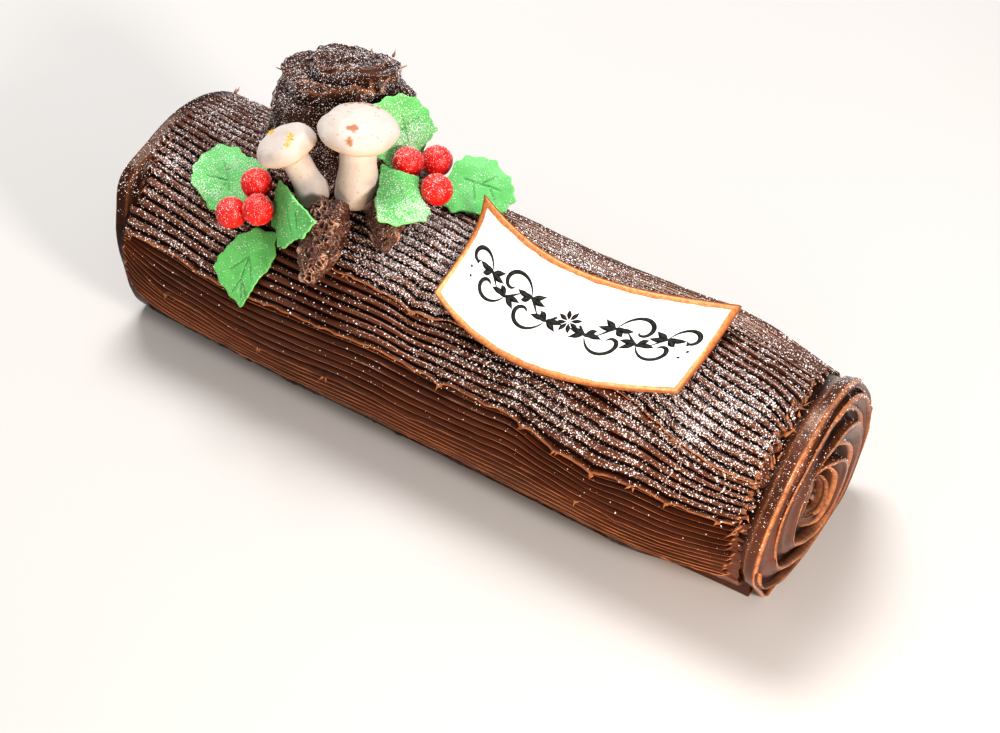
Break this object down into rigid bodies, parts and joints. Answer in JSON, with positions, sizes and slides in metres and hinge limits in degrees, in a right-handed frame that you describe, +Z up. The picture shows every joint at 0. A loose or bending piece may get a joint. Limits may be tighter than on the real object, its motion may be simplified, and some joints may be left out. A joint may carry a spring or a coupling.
{
  "type": "yule log cake",
  "caption": "Yule log cake in combed chocolate icing, with swirled ends, a branch stump, sugar mushrooms, pine cones, holly and a curved white plaque.",
  "frame": {"origin": "middle of the flat underside that the log rests on", "axes": "+X along the log towards the deeply swirled end, -Y the front that the plaque faces, +Z up"},
  "size_m": [0.3252, 0.1137, 0.1411],
  "materials": {
    "ganache": "combed chocolate ganache, dusted with white sugar",
    "holly_leaf": "matt green sugar paste with sugar grains",
    "holly_berry": "red sugar paste with sugar grains",
    "mushroom": "baked meringue, browned here and there",
    "pine_cone": "modelled chocolate",
    "plaque": "smooth white sugar paste with a gilded rim",
    "wire": "dull green florist's wire"
  },
  "bodies": {
    "root": {"log": "ganache", "leaf_left_round": "holly_leaf", "leaf_left_long": "holly_leaf", "leaf_left_folded": "holly_leaf", "leaf_right_back": "holly_leaf", "leaf_right_end": "holly_leaf", "leaf_right_front": "holly_leaf", "berry_left_top": "holly_berry", "berry_left_front": "holly_berry", "berry_left_right": "holly_berry", "berry_right_left": "holly_berry", "berry_right_back": "holly_berry", "berry_right_front": "holly_berry", "berry_wires": "wire", "mushroom_large_stem": "mushroom", "mushroom_large_cap": "mushroom", "mushroom_small_stem": "mushroom", "mushroom_small_cap": "mushroom", "cone_large": "pine_cone", "cone_small": "pine_cone", "plaque": "plaque"}
  },
  "joints": []
}
